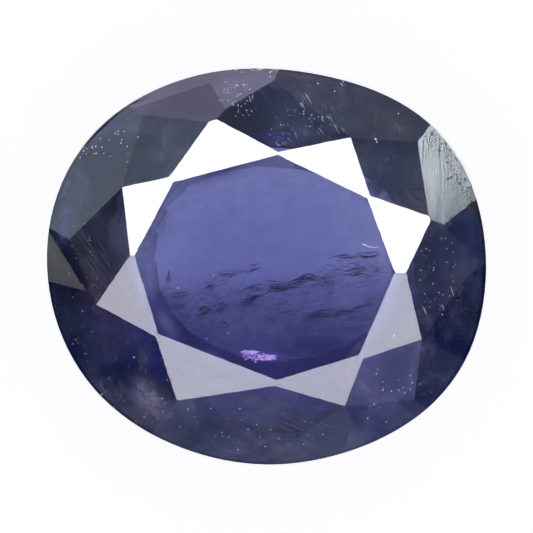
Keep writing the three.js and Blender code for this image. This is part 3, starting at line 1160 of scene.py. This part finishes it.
def makeLapping():
    corners = [cutStone.data.vertices[index].co / mm for index in scuffedFace(cutStone.data).vertices]
    left, right = min(c.x for c in corners), max(c.x for c in corners)
    low, high = min(c.y for c in corners), max(c.y for c in corners)
    dark = bmesh.new()
    pale = bmesh.new()
    lean = math.radians(lapping["turn"])
    for number in range(int((right - left) / lapping["gap"])):
        x = left + number * lapping["gap"] + dice.gauss(0, lapping["gap"] / 2)
        for piece in range(lapping["pieces"]):
            start = dice.uniform(low - lapping["before"], high)
            length = dice.uniform(*lapping["length"])
            spots = [start + length * step / lapping["steps"] for step in range(lapping["steps"] + 1)]
            path = [onScuffed(x + (y - low) / math.tan(lean), y, lapping["lift"]) for y in spots]
            path = [place for place in path if place]
            width = lapping["width"] * mm * dice.uniform(*lapping["thickness"])
            if len(path) > 2:
                # dark lines are painted shade, pale ones painted light
                addThread(dark if dice.random() < lapping["darkLines"] else pale, path, width)
    for number in range(lapping["pits"]):
        azimuth = math.radians(dice.uniform(*lapping["pitAzimuths"]))
        inward = abs(dice.gauss(0, lapping["pitBand"] / 2))
        reach = girdleReach(azimuth) - inward - lapping["pitMargin"]
        place = onScuffed(reach * math.cos(azimuth), reach * math.sin(azimuth), 0)
        size = lapping["pitSize"] * mm * dice.uniform(*lapping["pitSizes"])
        # dark pits are painted shade, pale ones painted light
        if place:
            addSpeck(dark if dice.random() < lapping["darkPits"] else pale, place, size)
    print("furrows and pits made,", len(dark.faces) + len(pale.faces), "faces")
    inclusionObject("lapping_furrows_painted_shade", dark, lappingMaterial("furrowPaintedShade", "#59636a"))
    inclusionObject("lapping_ridges_painted_light", pale, lappingMaterial("ridgePaintedLight", "#dde6ec"))


# The girdle shows as a thin dull line along the upper left, where it was ground a little proud
rim = {"from": 124, "to": 153, "width": 0.045, "height": 4.0, "colour": "#8a8078"}


def makeRim():
    bm = bmesh.new()
    path = []
    for azimuth in range(rim["from"], rim["to"] + 1):
        turn = math.radians(azimuth)
        reach = (girdleReach(turn) - rim["width"] / 4) * mm
        path.append(Vector((reach * math.cos(turn), reach * math.sin(turn), rim["height"] * mm)))
    addThread(bm, path, rim["width"] * mm)
    inclusionObject("girdle_line", bm, lappingMaterial("brutedGirdle", rim["colour"]))


makeRim()
makeStains()
makeVeil()
makeCloudsWithPaintedShadeAndLight()
makeFlash()
makeGlow()
# the crystals, needles, scratches and silk glow with painted light from their emission
paleCrystalPaintedGlow = sparkMaterial("paleCrystalPaintedGlow", "#f4f2fa", 0.4)
makeSparks(paleCrystalPaintedGlow)
makeLapping()
makeScratches(paleCrystalPaintedGlow, sparkMaterial("fineSilkPaintedGlow", "#7c80a8", 0.03))
print("inclusions made")


# The set: a pale floor that glows a little, and soft panels round the stone
floor = {"side": 0.4, "colour": "#c8c8c6", "glow": 0.82, "below": 0.00002}
room = {"colour": "#f4f4f2", "strength": 0.38}


def makeFloor():
    material, tree = newMaterial("paleFloor")
    shader = addNode(
        tree,
        "ShaderNodeBsdfPrincipled",
        inputs={
            "Base Color": hexColour(floor["colour"]),
            "Roughness": 0.9,
            "Specular IOR Level": 0.0,
            "Emission Color": (1, 1, 1, 1),
            "Emission Strength": floor["glow"],
        },
    )
    addNode(tree, "ShaderNodeOutputMaterial", inputs={"Surface": shader.outputs["BSDF"]})
    half = floor["side"] / 2
    mesh = bpy.data.meshes.new("floor")
    corners = [(-half, -half, 0), (half, -half, 0), (half, half, 0), (-half, half, 0)]
    mesh.from_pydata(corners, [], [(0, 1, 2, 3)])
    mesh.materials.append(material)
    ground = placeObject("floor", mesh)
    ground.location.z = -floor["below"]


# Each panel hangs where one facet or a group of facets mirrors it to the camera:
# azimuth, angle from straight up, width across and up in degrees, and brightness
panels = [
    {"azimuth": 105, "fromTop": 36, "across": 12, "up": 12, "radiance": 23},
    {"azimuth": 65, "fromTop": 36, "across": 12, "up": 12, "radiance": 23},
    {"azimuth": 21, "fromTop": 36, "across": 12, "up": 12, "radiance": 23},
    {"azimuth": 153, "fromTop": 36, "across": 12, "up": 12, "radiance": 23},
    {"azimuth": 197, "fromTop": 36, "across": 10, "up": 10, "radiance": 8.9, "colour": (0.91, 0.91, 1)},
    {"azimuth": 248, "fromTop": 33, "across": 14, "up": 12, "radiance": 9.2, "colour": (0.91, 0.91, 1)},
    {"azimuth": 287, "fromTop": 36, "across": 12, "up": 12, "radiance": 9.0, "colour": (0.91, 0.91, 1)},
    {"azimuth": 337, "fromTop": 36, "across": 12, "up": 12, "radiance": 9.2, "colour": (0.91, 0.91, 1)},
    {"azimuth": 67, "fromTop": 78, "across": 44, "up": 12, "radiance": 0.82, "colour": (0.57, 0.65, 1)},
    {"azimuth": 82, "fromTop": 63, "across": 18, "up": 14, "radiance": 0.4, "colour": (0.3, 0.45, 1)},
    {"azimuth": 43, "fromTop": 57, "across": 18, "up": 13, "radiance": 0.34, "colour": (0.6, 0.8, 1)},
    {"azimuth": 146, "fromTop": 75, "across": 44, "up": 12, "radiance": 1.7, "colour": (0.64, 0.8, 1)},
    {"azimuth": 122, "fromTop": 63, "across": 26, "up": 12, "radiance": 1.2, "colour": (0.64, 0.8, 1)},
    {
        "azimuth": 104,
        "fromTop": 91,
        "across": 34,
        "up": 13,
        "radiance": 2.0,
        "colour": (0.65, 0.6, 1),
        "reach": 0.035,
    },
    {"azimuth": 268, "fromTop": 78, "across": 30, "up": 14, "radiance": 0.8, "colour": (0.43, 0.46, 1)},
    {"azimuth": 314, "fromTop": 58, "across": 24, "up": 14, "radiance": 2.0, "colour": (0.37, 0.37, 1)},
    {
        "azimuth": 36,
        "fromTop": 84,
        "across": 19,
        "up": 13,
        "radiance": 13,
        "colour": (0.86, 0.97, 1),
        "reach": 0.03,
    },
]
panelReach = 0.4
# Flags take the place of the bright floor and room in what a facet mirrors. Most are dark, and a few
# are blue or lit, for the facets that look so
flags = [
    {"azimuth": 350, "fromTop": 68, "across": 36, "up": 14, "colour": (0.36, 0.40, 0.72)},
    {"azimuth": 351, "fromTop": 82, "across": 30, "up": 13, "colour": (0.05, 0.06, 0.20)},
    {"azimuth": 322, "fromTop": 81, "across": 24, "up": 12, "colour": (0.22, 0.28, 0.52)},
    {"azimuth": 298, "fromTop": 87, "across": 20, "up": 10, "colour": (0.38, 0.44, 1.00), "glow": 1.4},
    {"azimuth": 219, "fromTop": 61, "across": 30, "up": 24, "colour": (0.05, 0.09, 0.30)},
    {"azimuth": 182, "fromTop": 84, "across": 28, "up": 16, "colour": (0.04, 0.06, 0.15)},
    {"azimuth": 207, "fromTop": 90, "across": 26, "up": 14, "colour": (0.04, 0.07, 0.20), "reach": 0.03},
    {"azimuth": 236, "fromTop": 89, "across": 16, "up": 12, "colour": (0.20, 0.26, 0.45), "reach": 0.03},
    {"azimuth": 257, "fromTop": 95, "across": 20, "up": 9, "colour": (0.46, 0.54, 0.95), "reach": 0.031},
    {
        "azimuth": 281,
        "fromTop": 91,
        "across": 34,
        "up": 12,
        "colour": (0.54, 0.58, 0.96),
        "glow": 1.5,
        "reach": 0.03,
    },
    {"azimuth": 6, "fromTop": 88, "across": 17, "up": 9, "colour": (0.15, 0.20, 0.45), "reach": 0.031},
]
flagReach = 0.38
target = Vector((0, 0, 4 * mm))


def makePanel(index, panel):
    reach = panel.get("reach", panelReach)
    light = bpy.data.lights.new(f"panel{index}", "AREA")
    light.shape = "RECTANGLE"
    light.size = 2 * reach * math.tan(math.radians(panel["across"] / 2))
    light.size_y = 2 * reach * math.tan(math.radians(panel["up"] / 2))
    light.energy = panel["radiance"] * math.pi * light.size * light.size_y
    light.color = panel.get("colour", (1, 1, 1))
    away = pointing(panel["azimuth"], panel["fromTop"])
    lamp = bpy.data.objects.new(f"panel{index}", light)
    lamp.location = target + away * reach
    lamp.rotation_mode = "QUATERNION"
    lamp.rotation_quaternion = away.to_track_quat("Z", "Y")
    lamp.visible_camera = False
    lamp.visible_transmission = False
    lamp.visible_diffuse = False
    scene.collection.objects.link(lamp)


def makeFlag(index, flag):
    # A card of one even colour, black with a little blue on it unless its facet looks lit
    material, tree = newMaterial(f"darkCard{index}")
    shader = addNode(
        tree, "ShaderNodeEmission", inputs={"Color": (*flag["colour"], 1), "Strength": flag.get("glow", 1.0)}
    )
    addNode(tree, "ShaderNodeOutputMaterial", inputs={"Surface": shader.outputs["Emission"]})
    reach = flag.get("reach", flagReach)
    turn = math.radians(flag["azimuth"])
    away = pointing(flag["azimuth"], flag["fromTop"])
    side = Vector((-math.sin(turn), math.cos(turn), 0)) * reach * math.tan(math.radians(flag["across"] / 2))
    rise = away.cross(side).normalized() * reach * math.tan(math.radians(flag["up"] / 2))
    middle = target + away * reach
    corners = [middle - side - rise, middle + side - rise, middle + side + rise, middle - side + rise]
    mesh = bpy.data.meshes.new(f"flag{index}")
    mesh.from_pydata(corners, [], [(0, 1, 2, 3)])
    mesh.materials.append(material)
    card = placeObject(f"flag{index}", mesh)
    card.visible_camera = False
    card.visible_diffuse = False
    card.visible_transmission = False
    card.visible_volume_scatter = False
    card.visible_shadow = False


def makeRoom():
    world = bpy.data.worlds.new("paleRoom")
    scene.world = world
    world.use_nodes = True
    tree = world.node_tree
    tree.nodes.clear()
    settings = {"Color": hexColour(room["colour"]), "Strength": room["strength"]}
    light = addNode(tree, "ShaderNodeBackground", inputs=settings)
    addNode(tree, "ShaderNodeOutputWorld", inputs={"Surface": light.outputs["Background"]})


# The camera looks straight down on the table, with the length of the oval across the picture
cameraSettings = {
    "lens": 600,
    "sensor": 36,
    "pictureWidth": 533,  # px
    "stoneInPicture": 439.5,  # px
    "stoneLength": 11.1,  # mm
    "girdleHeight": 4 * mm,
    "aim": (0.0, 0.0),
}


def makeCamera():
    data = bpy.data.cameras.new("camera")
    data.lens = cameraSettings["lens"]
    data.sensor_width = cameraSettings["sensor"]
    # What the picture spans at the girdle
    spans = cameraSettings["pictureWidth"] / cameraSettings["stoneInPicture"]
    frameWidth = spans * cameraSettings["stoneLength"] * mm
    reach = frameWidth * data.lens / data.sensor_width
    data.clip_start = 0.01
    data.clip_end = 10
    camera = bpy.data.objects.new("camera", data)
    camera.location = (*cameraSettings["aim"], cameraSettings["girdleHeight"] + reach)
    scene.collection.objects.link(camera)
    scene.camera = camera


makeFloor()
for index, panel in enumerate(panels):
    makePanel(index, panel)
for index, flag in enumerate(flags):
    makeFlag(index, flag)
makeRoom()
makeCamera()
print("set and camera made")
